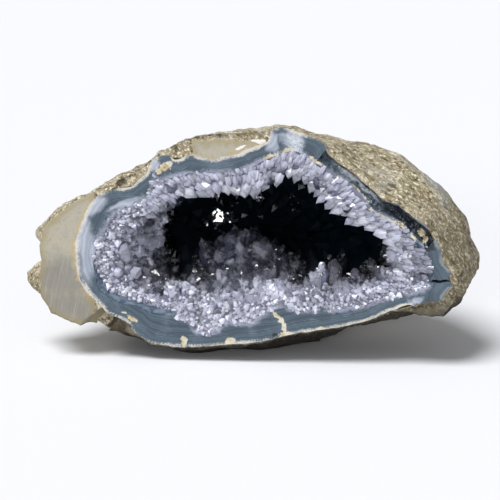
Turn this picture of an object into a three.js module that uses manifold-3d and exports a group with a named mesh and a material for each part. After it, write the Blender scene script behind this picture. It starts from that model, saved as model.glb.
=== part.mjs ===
// Half of a geode: a rind of host rock, the agate band inside it, and the crust of quartz crystals that
// lines the hollow. Millimetres, +Z up. The sawn face looks along -Y, and the stone stands on a flat on its
// underside. Shapes are first laid out from the face: x across it, y into the stone, z above the ground.
import * as THREE from "three";
import { ImprovedNoise } from "three/addons/math/ImprovedNoise.js";
import { mergeVertices } from "three/addons/utils/BufferGeometryUtils.js";
import Module from "manifold-3d";

const wasm = await Module();
wasm.setup();

// Driving dimensions
const FACE_CENTRE = { x: 2, z: 43 }; // every outline on the sawn face is seen from here
const HEART = new THREE.Vector3(2, 20, 43); // the middle of the stone, from which its lumps stand out
const GAP = 0.4; // clearance between one layer and the next
const SEGMENTS = 76; // sides of each layer's outline
const SWELL_SHARE = 0.34; // share of its depth at which a layer has reached its full swell
const SETTLING = 25; // depth at which the outline's small bends have died out
const EVENING = [-24, -12, 0, 12, 24]; // turns, in degrees, over which the bends are evened out there
const OVAL = { wide: 76, high: 41 }; // half-sizes of the oval that is left at the back

// Each layer runs back from the sawn face: its depth, and how much narrower it is behind the face than on it
const ROCK = { depth: 76, squareness: 2.6, lump: 4.2, lumpLength: 22, grain: 1.6, grainLength: 9 };
const AGATE = { depth: 59, narrowing: 7 };
const CRUST = { depth: 51, narrowing: 6 };
const HOLLOW = { depth: 43, narrowing: 2, frontDepth: 30, flare: 0.74, flareDepth: 4.5 };
const BLOCK = 400; // side of the blocks that trim the stone

// Quartz: six-sided points all over the hollow, and larger ones that stand out of them
const DRUSE = { frequency: 8, squeeze: 0.64, height: [1.8, 4], valley: 0.7, jitter: 0.04 };
const MOUND = { x: -8, y: 20, wide: 17, deep: 13, high: 16 };
const POINT_SLOPE = 1.25; // height of a quartz point over its radius
const COMB = { from: 8, to: 168, step: 6.2, radius: [1.7, 2.7], setback: [2, 5], overshoot: [0.5, 3.5] };

// Outlines on the sawn face, anticlockwise from the right: x, z, and for the rock how far it swells out behind
const ROCK_EDGE = [
  [75, 36, 10], [70, 43, 12], [66.5, 51, 12], [56, 61, 10], [48, 65, 8], [37, 74.5, 4], [30, 79.5, -1],
  [24, 83, -4], [15, 86, -4], [8, 86, -4], [2, 85.5, -3], [-8, 85, -2], [-18, 84, -1], [-25, 81.5, -2],
  [-32, 78, -10], [-38, 73, -13], [-47, 67, -12], [-57, 63, -8], [-68, 56, -1], [-75, 49, 6], [-77, 43.5, 8],
  [-76.5, 36, 4], [-77.5, 28, 9], [-76.5, 22, 7], [-73, 17, 4], [-64, 13, 2], [-50, 9.5, 4], [-41, 6, 7],
  [-28, 5, 10], [-14, 5.5, 11], [0, 7, 13], [11, 9.7, 13], [25, 13, 13], [40, 16, 12], [50, 20, 12],
  [57, 22.5, 12], [64, 19, 11], [72.5, 21, 11], [74, 29, 12],
];
const AGATE_EDGE = [
  [74, 33], [69.5, 39], [67.5, 45], [65, 51], [60, 55], [54, 59.5], [46.5, 63], [41, 68], [35, 73], [28.5, 78],
  [24, 83], [15, 86.7], [9, 86.7], [5.5, 82], [-1, 79], [-8, 76.5], [-14, 75], [-21, 76.5], [-26, 75],
  [-30, 76.5], [-35, 74.5], [-38, 69], [-43, 65], [-50, 63.5], [-56, 60], [-60, 53], [-63, 44], [-63, 36],
  [-61, 29], [-56, 22], [-47, 13], [-41, 7.5], [-28, 6], [-15, 6.5], [-4, 8], [8, 10], [19, 13], [31, 15],
  [41, 17.5], [50, 21.5], [57, 24], [64, 20.5], [70.5, 22.5], [69, 26.5], [71, 30],
];
const CRUST_EDGE = [
  [66, 34], [65, 39], [63, 44.5], [59, 48], [54, 53], [48, 56], [43, 59], [40, 63], [33.5, 68.5], [27, 73],
  [20, 78], [13, 79.5], [5, 76], [-1, 73], [-9, 71.5], [-21, 71], [-28, 69], [-32.5, 68], [-35, 70.5],
  [-36, 67], [-36, 61], [-42, 58], [-50, 54], [-55, 45], [-57.5, 35], [-56, 27], [-51, 22.5], [-45, 20.5],
  [-37, 18], [-28, 17.5], [-22.5, 15.5], [-19, 11.5], [-12, 11.5], [-9, 15], [0, 15.5], [6, 20], [11, 22.5],
  [16, 20.5], [29, 21], [38, 22], [47, 24.5], [56, 27.5], [62, 29.5],
];
const MOUTH_EDGE = [
  [54, 36], [51, 42], [47, 48], [39, 53.5], [32, 58], [22, 65.5], [14, 70], [8, 66], [0, 63], [-11, 64],
  [-21, 62], [-31, 59], [-40, 55], [-47, 49], [-49, 41], [-47, 33], [-42, 27], [-34, 24], [-20, 23],
  [-5, 23.5], [6, 25], [17, 28], [30, 29.5], [44, 31],
];

// Knobs on the left end, and breakage: centre, half-sizes, turn about the depth axis in degrees, roughness
const LEFT_KNOBS = [
  { at: [-72, 10, 43.5], half: [8, 8, 5.5], turn: 12, rough: 1.6 },
  { at: [-71, 11, 28], half: [11.5, 10, 7.5], turn: -6, rough: 2 },
];
const ROCK_CHIP = { at: [-55, -2, 14], half: [14, 9, 4.4], turn: -42, rough: 0.8 };
const CRACK = { at: [69.5, 0, 33.2], half: [5.5, 6, 0.5], turn: -6, rough: 0 };
const GROOVE = {
  radius: 2.5,
  path: [[25.5, 78], [34, 71], [40.5, 65.3], [46, 60.8], [54, 56.5], [59.5, 52], [65, 47]],
  steps: 14,
  sides: 8,
};

// Crystals that stand out of the druse: foot, the way they point, radius and length of the prism
const TALL_CRYSTALS = [
  { foot: [-8, 17, 36], points: [0.1, -0.35, 1], radius: 3.6, length: 8 },
  { foot: [-16, 15, 33], points: [-0.35, -0.4, 1], radius: 3, length: 6 },
  { foot: [2, 16, 33], points: [0.5, -0.5, 1], radius: 2.8, length: 6 },
  { foot: [24, 9, 25], points: [0.1, -0.3, 1], radius: 3.2, length: 9 },
  { foot: [30, 14, 25], points: [0.15, -0.1, 1], radius: 3, length: 13 },
  { foot: [35, 11, 25], points: [0.3, -0.35, 1], radius: 2.4, length: 8 },
  { foot: [59, 5, 44], points: [-1, -0.1, -0.5], radius: 4, length: 7 },
  { foot: [-30, 5, 19], points: [0.2, -0.25, 1], radius: 3.2, length: 7 },
  { foot: [-22, 6, 19], points: [-0.15, -0.3, 1], radius: 3.4, length: 7 },
  { foot: [-51, 8, 33], points: [1, -0.4, 0.25], radius: 3.6, length: 5 },
  { foot: [-46, 6, 54], points: [0.6, -0.5, -0.6], radius: 3.2, length: 4 },
];

const degrees = THREE.MathUtils.degToRad;
const noise = new ImprovedNoise();
let seed = 11;
const random = (low, high) => low + (high - low) * THREE.MathUtils.seededRandom(seed++);

// A three.js geometry as a manifold solid
function solid(geometry) {
  const bare = new THREE.BufferGeometry();
  bare.setAttribute("position", geometry.getAttribute("position"));
  bare.setIndex(geometry.index);
  const merged = mergeVertices(bare, 1e-3);
  const corners = [...merged.index.array];
  const triVerts = [];
  for (let i = 0; i < corners.length; i += 3) {
    const [a, b, c] = corners.slice(i, i + 3);
    if (a !== b && b !== c && c !== a) triVerts.push(a, b, c);
  }
  return new wasm.Manifold(
    new wasm.Mesh({
      numProp: 3,
      vertProperties: new Float32Array(merged.attributes.position.array),
      triVerts: new Uint32Array(triVerts),
    }),
  );
}

// The largest body of a solid as a geometry, with none of the crumbs that a cut can leave
function geometryOf(made) {
  const [largest] = made.decompose().sort((a, b) => b.volume() - a.volume());
  const mesh = largest.getMesh();
  const geometry = new THREE.BufferGeometry();
  geometry.setAttribute("position", new THREE.BufferAttribute(new Float32Array(mesh.vertProperties), 3));
  geometry.setIndex(new THREE.BufferAttribute(new Uint32Array(mesh.triVerts), 1));
  geometry.computeVertexNormals();
  return geometry;
}

// Moves every vertex of a geometry by a function of its place
function bend(geometry, move) {
  const positions = geometry.getAttribute("position");
  const place = new THREE.Vector3();
  for (let i = 0; i < positions.count; i += 1) {
    place.fromBufferAttribute(positions, i);
    move(place);
    positions.setXYZ(i, place.x, place.y, place.z);
  }
  return geometry;
}

// An outline as its radius, and its swell, at any angle about the face's centre
function polarOutline(points) {
  const { x: middleX, z: middleZ } = FACE_CENTRE;
  const corners = points.map(([x, z, swell = 0]) => new THREE.Vector3(x - middleX, swell, z - middleZ));
  const curve = new THREE.CatmullRomCurve3(corners, true, "centripetal");
  const turn = (p) => Math.atan2(p.z, p.x);
  const samples = curve.getPoints(points.length * 12).sort((a, b) => turn(a) - turn(b));
  return (angle) => {
    const within = Math.atan2(Math.sin(angle), Math.cos(angle));
    const after = samples.findIndex((p) => turn(p) > within);
    const next = samples[after < 0 ? 0 : after];
    const last = samples[after <= 0 ? samples.length - 1 : after - 1];
    const wrap = (a) => ((a % (2 * Math.PI)) + 2 * Math.PI) % (2 * Math.PI);
    const share = wrap(within - turn(last)) / (wrap(turn(next) - turn(last)) || 1);
    return {
      radius: THREE.MathUtils.lerp(Math.hypot(last.x, last.z), Math.hypot(next.x, next.z), share),
      swell: THREE.MathUtils.lerp(last.y, next.y, share),
    };
  };
}

// How a layer closes towards its back, and how its swell grows behind the face, at a share of its depth
const closing = (share) => Math.sqrt(Math.max(0, 1 - share ** ROCK.squareness));
const swelling = (share) => 0.5 - 0.5 * Math.cos(Math.PI * Math.min(1, share / SWELL_SHARE));

// An outline at a depth: true on the face, and its bends and swells evened out behind it
function settledOutline(outline, angle, depth) {
  const settled = THREE.MathUtils.clamp(depth / SETTLING, 0, 1);
  const reach = Math.max(1, depth / SETTLING);
  const exact = outline(angle);
  const even = { bend: 0, swell: 0 };
  for (const turn of EVENING) {
    const toSide = angle + degrees(turn * reach);
    const beside = outline(toSide);
    even.bend += beside.radius / oval(toSide) / EVENING.length;
    even.swell += beside.swell / EVENING.length;
  }
  return {
    radius: THREE.MathUtils.lerp(exact.radius, even.bend * oval(angle), settled),
    swell: THREE.MathUtils.lerp(exact.swell, even.swell, settled),
  };
}
const oval = (angle) => 1 / Math.hypot(Math.cos(angle) / OVAL.wide, Math.sin(angle) / OVAL.high);

// A rounded block behind an outline of the face: rings at shares of its depth, from the front to the back
function dome(outline, { depth, narrowing = 0, grow = 0, front = 0, rings, roughen = () => 0 }) {
  const profile = [new THREE.Vector2(0, -front), new THREE.Vector2(1, -front)];
  if (front > 0) profile.push(new THREE.Vector2(1, 0));
  for (const share of rings) profile.push(new THREE.Vector2(1, share));
  profile.push(new THREE.Vector2(0, 1));
  return bend(new THREE.LatheGeometry(profile, SEGMENTS), (place) => {
    const angle = Math.atan2(place.z, place.x);
    const across = Math.hypot(place.x, place.z);
    const share = Math.max(0, place.y);
    const { radius, swell } = settledOutline(outline, angle, share * depth);
    const wide = (radius + (swell - narrowing) * swelling(share)) * closing(share) + grow;
    place.y = place.y < 0 ? place.y : place.y * (depth + grow);
    place.x = FACE_CENTRE.x + across * wide * Math.cos(angle);
    place.z = FACE_CENTRE.z + across * wide * Math.sin(angle);
    place.addScaledVector(place.clone().sub(HEART).normalize(), roughen(place));
  });
}

// Noise of some wavelength at a place
const roughness = (place, length) => noise.noise(place.x / length, place.y / length, place.z / length);

// The lumps and the coarse grain of the weathered rock
function weathering(place) {
  const lump = roughness(place, ROCK.lumpLength);
  const grain = roughness(place, ROCK.grainLength);
  const fromFace = Math.min(1, place.y / 8);
  const fromBack = THREE.MathUtils.clamp((ROCK.depth - place.y) / ROCK.depth - 0.25, 0, 1);
  return fromFace * (lump * ROCK.lump + fromBack * grain * ROCK.grain);
}

// A rough ball stretched to half-sizes and turned about the depth axis
function lump({ at, half, turn, rough }) {
  const geometry = new THREE.IcosahedronGeometry(1, 3).scale(...half).rotateY(degrees(turn)).translate(...at);
  const middle = new THREE.Vector3(...at);
  return solid(
    bend(geometry, (place) => {
      place.addScaledVector(place.clone().sub(middle).normalize(), roughness(place, ROCK.grainLength) * rough);
    }),
  );
}

// A block of the space on one side of the sawn face or of the ground
function block(x, y, z) {
  return solid(new THREE.BoxGeometry(BLOCK, BLOCK, BLOCK).translate(x, y, z));
}

const rockOutline = polarOutline(ROCK_EDGE);
const agateOutline = polarOutline(AGATE_EDGE);
const crustOutline = polarOutline(CRUST_EDGE);
const mouthOutline = polarOutline(MOUTH_EDGE);
const SHELL_RINGS = [0.16, 0.42, 0.76];
const FRONT_RUN = 6; // how far a cutting block runs out in front of the face

function rockRind() {
  const rings = [0.05, 0.12, 0.2, 0.31, 0.44, 0.58, 0.72, 0.85, 0.94, 0.985];
  const rock = solid(dome(rockOutline, { depth: ROCK.depth, rings, roughen: weathering }));
  const bed = solid(dome(agateOutline, { ...AGATE, grow: GAP / 2, front: FRONT_RUN, rings: SHELL_RINGS }));
  const whole = wasm.Manifold.union([rock, ...LEFT_KNOBS.map(lump)]).subtract(bed).subtract(lump(ROCK_CHIP));
  return whole.subtract(block(0, -BLOCK / 2, 0)).subtract(block(0, 0, -BLOCK / 2));
}

function agateBand() {
  const outside = { ...AGATE, grow: -GAP / 2, rings: SHELL_RINGS };
  const inside = { ...CRUST, grow: GAP / 2, front: FRONT_RUN, rings: SHELL_RINGS };
  const band = solid(dome(agateOutline, outside)).subtract(solid(dome(crustOutline, inside)));
  return band.subtract(groove()).subtract(lump(CRACK));
}

// The channel where the band has broken away along the upper right of the face
function groove() {
  const section = new THREE.Shape().absarc(0, 0, GROOVE.radius, 0, 2 * Math.PI);
  const line = GROOVE.path.map(([x, z]) => new THREE.Vector3(x, 0, z));
  return solid(
    new THREE.ExtrudeGeometry(section, {
      extrudePath: new THREE.CatmullRomCurve3(line),
      steps: GROOVE.steps,
      curveSegments: GROOVE.sides,
      bevelEnabled: false,
    }),
  );
}

// The hollow's surface in a direction from its middle: smooth, before the crystals, with its flare at the mouth
function hollowPoint(direction) {
  const angle = Math.atan2(direction.z, direction.x);
  const share = Math.abs(direction.y);
  const depth = direction.y * (direction.y > 0 ? HOLLOW.depth : HOLLOW.frontDepth);
  const mouth = settledOutline(mouthOutline, angle, depth).radius;
  const rim = settledOutline(crustOutline, angle, depth).radius;
  const flare = HOLLOW.flare * Math.exp(-Math.max(0, depth) / HOLLOW.flareDepth);
  const wide = (THREE.MathUtils.lerp(mouth, rim, flare) - HOLLOW.narrowing * swelling(share)) * closing(share);
  const place = new THREE.Vector3(
    FACE_CENTRE.x + wide * Math.cos(angle),
    depth,
    FACE_CENTRE.z + wide * Math.sin(angle),
  );
  if (direction.z < 0) {
    const along = (place.x - MOUND.x) / MOUND.wide;
    const into = (place.y - MOUND.y) / MOUND.deep;
    place.z += MOUND.high * Math.exp(-along * along - into * into);
  }
  return place;
}

// A direction of the crystal lattice, a little out of true, and turned towards the hollow's ends near its mouth
// so that the crystals come out of even size
function latticeDirection(place) {
  const { squeeze, jitter } = DRUSE;
  const level = Math.hypot(place.x, place.z);
  place.z *= THREE.MathUtils.lerp(squeeze, 1, Math.abs(place.y));
  const squeezed = Math.hypot(place.x, place.z) || 1;
  place.set((place.x * level) / squeezed, place.y, (place.z * level) / squeezed);
  place.x += random(-jitter, jitter);
  place.y += random(-jitter, jitter);
  place.z += random(-jitter, jitter);
  return place.normalize();
}

// The hollow as a solid: crystal tips on a ball, with a valley between every three of them, so that each tip
// is a six-sided point
function hollow() {
  const ball = new THREE.IcosahedronGeometry(1, DRUSE.frequency - 1);
  ball.deleteAttribute("normal");
  ball.deleteAttribute("uv");
  const wall = bend(mergeVertices(ball, 1e-4), (place) => place.copy(hollowPoint(latticeDirection(place))));
  wall.computeVertexNormals();
  const { position, normal } = wall.attributes;
  const corners = wall.index.array;
  const smooth = [];
  const places = [];
  for (let i = 0; i < position.count; i += 1) {
    const place = new THREE.Vector3().fromBufferAttribute(position, i);
    const out = new THREE.Vector3().fromBufferAttribute(normal, i);
    smooth.push(place);
    places.push(place.clone().addScaledVector(out, -random(...DRUSE.height)));
  }
  const valleyBeside = new Map(); // the valley to the left of each directed edge between two tips
  for (let i = 0; i < corners.length; i += 3) {
    const three = [corners[i], corners[i + 1], corners[i + 2]];
    const triangle = new THREE.Triangle(...three.map((corner) => smooth[corner]));
    const valley = triangle.getMidpoint(new THREE.Vector3());
    places.push(valley.addScaledVector(triangle.getNormal(new THREE.Vector3()), DRUSE.valley));
    three.forEach((corner, k) => valleyBeside.set(`${corner},${three[(k + 1) % 3]}`, places.length - 1));
  }
  const faces = [];
  for (const [edge, valley] of valleyBeside) {
    const [tip, other] = edge.split(",").map(Number);
    faces.push(tip, valleyBeside.get(`${other},${tip}`), valley);
  }
  const geometry = new THREE.BufferGeometry().setFromPoints(places);
  return solid(geometry.setIndex(faces));
}

// One quartz crystal: a six-sided prism with a six-sided point, standing on its foot
function crystal({ foot, points, radius, length }) {
  const profile = [
    new THREE.Vector2(0, 0),
    new THREE.Vector2(radius, 0),
    new THREE.Vector2(radius * 0.96, length),
    new THREE.Vector2(0, length + radius * POINT_SLOPE),
  ];
  const geometry = new THREE.LatheGeometry(profile, 6).rotateY(random(0, Math.PI / 3));
  const up = new THREE.Vector3(0, 1, 0);
  const turn = new THREE.Quaternion().setFromUnitVectors(up, new THREE.Vector3(...points).normalize());
  return solid(geometry.applyQuaternion(turn).translate(...foot));
}

// The comb of crystals that hangs from the upper rim, each from the band towards the hollow
function combCrystals() {
  const made = [];
  for (let turn = COMB.from; turn < COMB.to; turn += COMB.step) {
    const angle = degrees(turn + random(-1, 1));
    const root = crustOutline(angle).radius - 3;
    const tip = mouthOutline(angle).radius - random(...COMB.overshoot);
    const radius = random(...COMB.radius);
    const y = random(...COMB.setback);
    const foot = [FACE_CENTRE.x + root * Math.cos(angle), y, FACE_CENTRE.z + root * Math.sin(angle)];
    const lean = random(-0.25, 0.25);
    const points = [-Math.cos(angle + lean), random(-0.1, 0.25), -Math.sin(angle + lean)];
    const length = Math.max(2, root - tip - radius * POINT_SLOPE);
    made.push(crystal({ foot, points, radius, length }));
  }
  return made;
}

function crystalCrust() {
  const bed = solid(dome(crustOutline, { ...CRUST, grow: -GAP / 2, rings: SHELL_RINGS }));
  const crystals = wasm.Manifold.union([...combCrystals(), ...TALL_CRYSTALS.map(crystal)]);
  return bed.subtract(hollow()).add(crystals.intersect(bed)).subtract(block(0, -BLOCK / 2, 0));
}

// The assembled stone, with its origin on the ground under the middle of its box
const FINISHES = {
  rock_rind: { made: rockRind, color: 0x9c8d62, roughness: 0.95 },
  agate_band: { made: agateBand, color: 0x5d7886, roughness: 0.35 },
  crystal_crust: { made: crystalCrust, color: 0xcfc9dc, roughness: 0.2 },
};
const stone = new THREE.Group();
for (const [name, { made, color, roughness }] of Object.entries(FINISHES)) {
  const material = new THREE.MeshStandardMaterial({ color, roughness, metalness: 0, flatShading: true });
  const mesh = new THREE.Mesh(geometryOf(made()), material);
  mesh.name = name;
  stone.add(mesh);
}
const middle = new THREE.Box3().setFromObject(stone).getCenter(new THREE.Vector3());
stone.position.set(-middle.x, -middle.y, 0);

const geode = new THREE.Group();
geode.add(stone);
export default geode;
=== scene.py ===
import math
import random
import bmesh
import bpy
import numpy as np
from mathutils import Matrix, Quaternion, Vector, noise
from mathutils.bvhtree import BVHTree
from mathutils.kdtree import KDTree


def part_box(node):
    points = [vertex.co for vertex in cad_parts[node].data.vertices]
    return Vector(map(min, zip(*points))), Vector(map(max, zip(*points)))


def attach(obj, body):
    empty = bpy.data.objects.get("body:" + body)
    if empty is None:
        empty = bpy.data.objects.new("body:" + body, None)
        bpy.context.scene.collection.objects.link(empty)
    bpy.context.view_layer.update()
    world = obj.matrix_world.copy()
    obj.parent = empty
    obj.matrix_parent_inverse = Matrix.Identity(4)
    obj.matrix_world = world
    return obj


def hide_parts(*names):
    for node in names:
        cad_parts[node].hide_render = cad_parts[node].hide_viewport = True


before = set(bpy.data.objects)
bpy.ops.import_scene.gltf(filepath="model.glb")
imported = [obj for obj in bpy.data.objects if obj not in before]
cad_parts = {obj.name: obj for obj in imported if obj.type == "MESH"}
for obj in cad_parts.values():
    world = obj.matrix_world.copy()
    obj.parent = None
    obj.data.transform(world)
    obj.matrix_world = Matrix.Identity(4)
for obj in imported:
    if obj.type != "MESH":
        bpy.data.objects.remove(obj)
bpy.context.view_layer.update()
noise.seed_set(5)  # noise vectors would otherwise change from run to run

mm = 0.001
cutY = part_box("agate_band")[0].y  # the sawn face
cutEnd = cutY + 0.01 * mm  # what lies before this belongs to the sawn face
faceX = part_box("agate_band")[1].x - 72.28 * mm  # where the face's own x is nought
middle = (2, 43)  # the face's centre in its own x and z, mm


def onFace(x, z, depth=0):
    return Vector((faceX + x * mm, cutY + depth * mm, z * mm))


def faceOf(place):  # x, depth and z on the face, mm
    return (place.x - faceX) / mm, (place.y - cutY) / mm, place.z / mm


def smooth(value, low, high):  # 0 at low, 1 at high
    share = min(1, max(0, (value - low) / (high - low)))
    return share * share * (3 - 2 * share)


def hump(place, top, reach):  # 1 at the top, falling off with a reach along each direction
    return math.exp(-sum(((p - q) / r) ** 2 for p, q, r in zip(place, top, reach)))


def angleOf(x, z):  # about the face's centre
    return math.atan2(z - middle[1], x - middle[0])


def outward(x, z):  # the way from the face's centre
    return Vector((x - middle[0], 0, z - middle[1])).normalized()


# outlines on the sawn face, x and z in mm, as the solids have them
faceLines = {
    "agate": [
        (74, 33), (69.5, 39), (67.5, 45), (65, 51), (60, 55), (54, 59.5), (46.5, 63), (41, 68),
        (35, 73), (28.5, 78), (24, 83), (15, 86.7), (9, 86.7), (5.5, 82), (-1, 79), (-8, 76.5),
        (-14, 75), (-21, 76.5), (-26, 75), (-30, 76.5), (-35, 74.5), (-38, 69), (-43, 65), (-50, 63.5),
        (-56, 60), (-60, 53), (-63, 44), (-63, 36), (-61, 29), (-56, 22), (-47, 13), (-41, 7.5),
        (-28, 6), (-15, 6.5), (-4, 8), (8, 10), (19, 13), (31, 15), (41, 17.5), (50, 21.5), (57, 24),
        (64, 20.5), (70.5, 22.5), (69, 26.5), (71, 30),
    ],
    "crust": [
        (66, 34), (65, 39), (63, 44.5), (59, 48), (54, 53), (48, 56), (43, 59), (40, 63), (33.5, 68.5),
        (27, 73), (20, 78), (13, 79.5), (5, 76), (-1, 73), (-9, 71.5), (-21, 71), (-28, 69),
        (-32.5, 68), (-35, 70.5), (-36, 67), (-36, 61), (-42, 58), (-50, 54), (-55, 45), (-57.5, 35),
        (-56, 27), (-51, 22.5), (-45, 20.5), (-37, 18), (-28, 17.5), (-22.5, 15.5), (-19, 11.5),
        (-12, 11.5), (-9, 15), (0, 15.5), (6, 20), (11, 22.5), (16, 20.5), (29, 21), (38, 22),
        (47, 24.5), (56, 27.5), (62, 29.5),
    ],
    "mouth": [
        (54, 36), (51, 42), (47, 48), (39, 53.5), (32, 58), (22, 65.5), (14, 70), (8, 66), (0, 63),
        (-11, 64), (-21, 62), (-31, 59), (-40, 55), (-47, 49), (-49, 41), (-47, 33), (-42, 27),
        (-34, 24), (-20, 23), (-5, 23.5), (6, 25), (17, 28), (30, 29.5), (44, 31),
    ],
    "channel": [(25.5, 78), (34, 71), (40.5, 65.3), (46, 60.8), (54, 56.5), (59.5, 52), (65, 47)],
}


def roundLine(points, closed=True, steps=12):
    line = []
    count = len(points)
    for k in range(count if closed else count - 1):
        near = [(k + j) % count if closed else min(count - 1, max(0, k + j)) for j in (-1, 0, 1, 2)]
        a, b, c, d = (Vector(points[j]) for j in near)
        for step in range(steps):
            t = step / steps
            line.append(0.5 * (
                2 * b + (c - a) * t + (2 * a - 5 * b + 4 * c - d) * t**2 + (3 * b - a - 3 * c + d) * t**3
            ))
    return line


lineTrees = {}
linePolars = {}
for lineName, corners in faceLines.items():
    line = roundLine(corners, closed=lineName != "channel")
    tree = KDTree(len(line))
    for index, point in enumerate(line):
        tree.insert((point.x, 0, point.y), index)
    tree.balance()
    lineTrees[lineName] = tree
    turns = np.array([angleOf(*p) for p in line])
    reaches = np.array([math.hypot(p.y - middle[1], p.x - middle[0]) for p in line])
    linePolars[lineName] = turns, reaches


def fromLine(lineName, x, z):  # distance to an outline, mm
    return lineTrees[lineName].find((x, 0, z))[2]


def reachOf(lineName, angle):  # an outline's radius about the face's centre
    turns, reaches = linePolars[lineName]
    return float(np.interp(angle, turns, reaches, period=2 * math.pi))


# shader sums: a wrapped socket, and a finish that makes its nodes
class Val:
    def __init__(self, finish, socket):
        self.finish = finish
        self.socket = socket

    def math(self, operation, *terms):
        return self.finish.node("ShaderNodeMath", {"operation": operation}, dict(enumerate(terms)))

    def __add__(self, other):
        return self.math("ADD", self, other)

    def __sub__(self, other):
        return self.math("SUBTRACT", self, other)

    def __rsub__(self, other):
        return self.math("SUBTRACT", other, self)

    def __mul__(self, other):
        return self.math("MULTIPLY", self, other)

    def __truediv__(self, other):
        return self.math("DIVIDE", self, other)

    def __rtruediv__(self, other):
        return self.math("DIVIDE", other, self)

    __radd__ = __add__
    __rmul__ = __mul__

    def between(self, low, high):  # 0 below low, 1 above high
        sockets = {"Value": self, "From Min": low, "From Max": high}
        return self.finish.node("ShaderNodeMapRange", {"interpolation_type": "SMOOTHSTEP"}, sockets)

    def most(self, other):
        return self.math("MAXIMUM", self, other)


class Finish:
    def __init__(self, name):
        self.material = bpy.data.materials.new(name)
        self.material.use_nodes = True
        self.tree = self.material.node_tree
        self.tree.nodes.clear()
        self.place = self.node("ShaderNodeTexCoord", output=3)

    def node(self, kind, settings=None, sockets=None, output=0):
        made = self.tree.nodes.new(kind)
        for name, value in (settings or {}).items():
            if name == "stops":
                while len(made.color_ramp.elements) < len(value):
                    made.color_ramp.elements.new(1)
                for element, (at, colour) in zip(made.color_ramp.elements, value):
                    element.position = at
                    element.color = colour
            else:
                setattr(made, name, value)
        for name, value in (sockets or {}).items():
            if isinstance(value, Val):
                self.tree.links.new(value.socket, made.inputs[name])
            else:
                made.inputs[name].default_value = value
        return Val(self, made.outputs[output]) if made.outputs else None

    def grain(self, size, detail=2, rough=0.5, place=None):  # noise with lumps of a size in mm
        sockets = {"Scale": 1 / (size * mm), "Detail": detail, "Roughness": rough}
        return self.node("ShaderNodeTexNoise", {}, {"Vector": place or self.place, **sockets})

    def bands(self, along, detail, rough=0.5):  # noise along one value
        sockets = {"W": along, "Scale": 1, "Detail": detail, "Roughness": rough}
        return self.node("ShaderNodeTexNoise", {"noise_dimensions": "1D"}, sockets)

    def cells(self, size):
        return self.node("ShaderNodeTexVoronoi", {}, {"Vector": self.place, "Scale": 1 / (size * mm)})

    def held(self, name):  # a value kept on the piece's points
        return self.node("ShaderNodeAttribute", {"attribute_name": name}, output=2)

    def mix(self, share, first, second):
        settings = {"data_type": "RGBA", "clamp_factor": True}
        return self.node("ShaderNodeMix", settings, {0: share, 6: first, 7: second}, 2)

    def stretched(self, along, times):  # object coordinates pulled out along a direction
        turn = Vector((1, 0, 0)).rotation_difference(Vector(along).normalized()).to_euler()
        sockets = {"Vector": self.place, "Rotation": turn, "Scale": (times, 1, 1)}
        return self.node("ShaderNodeMapping", {"vector_type": "TEXTURE"}, sockets)

    def bump(self, height, depth, strength):
        return self.node("ShaderNodeBump", {}, {"Height": height, "Distance": depth * mm, "Strength": strength})

    def shine(self, **sockets):
        return self.node("ShaderNodeBsdfPrincipled", {}, {k.replace("_", " "): v for k, v in sockets.items()})

    def done(self, surface, volume=None):
        ends = {"Surface": surface, "Volume": volume} if volume else {"Surface": surface}
        self.node("ShaderNodeOutputMaterial", {}, ends)
        return self.material


def tint(red, green, blue):  # a colour in screen values, 0 to 255
    parts = [part / 255 for part in (red, green, blue)]
    return tuple(c / 12.92 if c <= 0.04045 else ((c + 0.055) / 1.055) ** 2.4 for c in parts) + (1,)


def copyOf(nodeName):  # a CAD node's loose triangles as one closed mesh
    shape = bmesh.new()
    shape.from_mesh(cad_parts[nodeName].data)
    bmesh.ops.remove_doubles(shape, verts=shape.verts, dist=1e-6)
    shape.normal_update()
    return shape


def ease(shape, points):
    bmesh.ops.smooth_vert(shape, verts=points, factor=0.5, use_axis_x=True, use_axis_y=True, use_axis_z=True)


# splits edges in the zones down to a length in mm; past a depth they may be longer by a ratio
def refine(shape, zones, longest, held=None, far=(1000, 1)):
    depth, ratio = far
    for step in range(8):
        wanted = []
        for edge in shape.edges:
            limit = longest * (ratio if edge.verts[0].co.y > cutY + depth * mm else 1) * mm
            if edge.calc_length() > limit and any(side.material_index in zones for side in edge.link_faces):
                wanted.append(edge)
        if not wanted:
            break
        bmesh.ops.subdivide_edges(shape, edges=wanted, cuts=1)
        bmesh.ops.triangulate(shape, faces=[side for side in shape.faces if len(side.verts) > 3])
        if held:  # evens out what isn't held in place
            within = [v for v in shape.verts if all(side.material_index in zones for side in v.link_faces)]
            ease(shape, [v for v in within if not held(v)])
    shape.verts.index_update()
    shape.normal_update()


def placed(mesh, name, node=None):
    made = bpy.data.objects.new(name, mesh)
    bpy.context.scene.collection.objects.link(made)
    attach(made, "root")
    if node:
        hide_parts(node)
    triangles = sum(len(side.vertices) - 2 for side in mesh.polygons)
    print(name, len(mesh.vertices), "points", triangles, "triangles")


def piece(shape, name, node, finishes, held=None, softened=True):
    mesh = bpy.data.meshes.new(name)
    shape.to_mesh(mesh)
    shape.free()
    for key, values in (held or {}).items():
        mesh.attributes.new(key, "FLOAT", "POINT").data.foreach_set("value", values)
    for material in finishes:
        mesh.materials.append(material)
    mesh.polygons.foreach_set("use_smooth", [softened] * len(mesh.polygons))
    placed(mesh, name, node)


def wobble(place):  # small bends in the layers' edges on the face
    x, depth, z = faceOf(place)
    slow = noise.noise_vector(Vector((x, 3, z)) / 5.2) * 0.6
    quick = noise.noise_vector(Vector((x, 9, z)) / 1.9) * 0.28
    corner = Vector((1.2, 0, 2.6)) * hump((x, z), (-44, 11), (8, 7))  # cut off at the lower left
    bend = Vector((slow.x + quick.x + corner.x, 0, slow.z + quick.z + corner.z))
    return bend * (1 - smooth(depth, 1, 6)) * mm


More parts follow.
